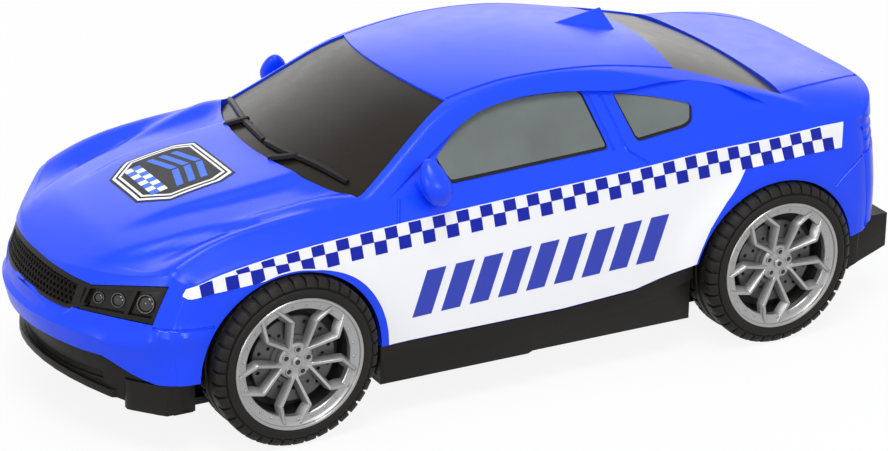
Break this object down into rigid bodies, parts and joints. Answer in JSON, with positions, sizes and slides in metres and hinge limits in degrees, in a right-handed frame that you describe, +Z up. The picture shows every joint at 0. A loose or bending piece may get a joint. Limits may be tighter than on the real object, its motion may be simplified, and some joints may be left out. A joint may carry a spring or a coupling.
{
  "type": "toy police car",
  "caption": "Friction-driven toy police coupe: glossy blue shell with a checker stripe on a black chassis, free-spinning spoked wheels and a flywheel gear motor on the rear axle.",
  "frame": {"origin": "on the ground, under the middle of the car's length and width", "axes": "+X forward to the front bumper, +Y to the car's left, +Z up"},
  "size_m": [0.2459, 0.106, 0.0875],
  "materials": {
    "body_blue": "glossy blue moulded plastic",
    "trim_black": "satin black moulded plastic",
    "lamp_black": "glossy dark lamp moulding",
    "dark_window": "glossy dark tinted plastic",
    "side_window": "glossy smoked grey plastic",
    "sticker_print": "printed self-adhesive film, white with a navy checker",
    "tyre_rubber": "matt black",
    "rim_silver": "satin silver paint",
    "disc_silver": "satin silver paint",
    "steel": "bright steel",
    "gear_white": "natural white acetal"
  },
  "bodies": {
    "car": {"body_shell": "body_blue", "windscreen": "dark_window", "rear_window": "dark_window", "door_window_left": "side_window", "door_window_right": "side_window", "quarter_window_left": "side_window", "quarter_window_right": "side_window", "wipers": "trim_black", "grille": "trim_black", "headlight_left": "lamp_black", "headlight_right": "lamp_black", "mirror_left": "body_blue", "mirror_right": "body_blue", "side_sticker_left": "sticker_print", "side_sticker_right": "sticker_print", "hood_sticker": "sticker_print", "chassis_base": "trim_black", "body_screws": "steel", "front_axle_cover": "trim_black", "cover_screws": "steel", "motor_housing_left": "gear_white", "motor_housing_right": "gear_white", "motor_screws": "steel", "idler_shaft": "steel"},
    "front_axle_set": {"front_axle": "steel", "front_left_tyre": "tyre_rubber", "front_left_rim": "rim_silver", "front_left_brake_disc": "disc_silver", "front_right_tyre": "tyre_rubber", "front_right_rim": "rim_silver", "front_right_brake_disc": "disc_silver"},
    "rear_axle_set": {"rear_axle": "steel", "axle_gear": "gear_white", "rear_left_tyre": "tyre_rubber", "rear_left_rim": "rim_silver", "rear_left_brake_disc": "disc_silver", "rear_right_tyre": "tyre_rubber", "rear_right_rim": "rim_silver", "rear_right_brake_disc": "disc_silver"},
    "idler": {"idler_gear": "gear_white"},
    "flywheel_set": {"flywheel": "steel", "flywheel_shaft": "steel"}
  },
  "joints": [
    {"name": "front_axle_spin", "type": "hinge", "parent": "car", "child": "front_axle_set", "pos_m": [0.06755, 0, 0.023], "axis": [0, 1, 0], "continuous": true},
    {"name": "rear_axle_spin", "type": "hinge", "parent": "car", "child": "rear_axle_set", "pos_m": [-0.07875, 0, 0.023], "axis": [0, 1, 0], "continuous": true},
    {"name": "idler_spin", "type": "hinge", "parent": "car", "child": "idler", "pos_m": [-0.06836, 0, 0.029], "axis": [0, 1, 0], "continuous": true},
    {"name": "flywheel_spin", "type": "hinge", "parent": "car", "child": "flywheel_set", "pos_m": [-0.05575, 0, 0.02678], "axis": [0, 1, 0], "continuous": true}
  ],
  "couplings": [
    {"joint": "idler_spin", "follows": "rear_axle_spin", "ratio": -2},
    {"joint": "flywheel_spin", "follows": "rear_axle_spin", "ratio": 4.4}
  ]
}
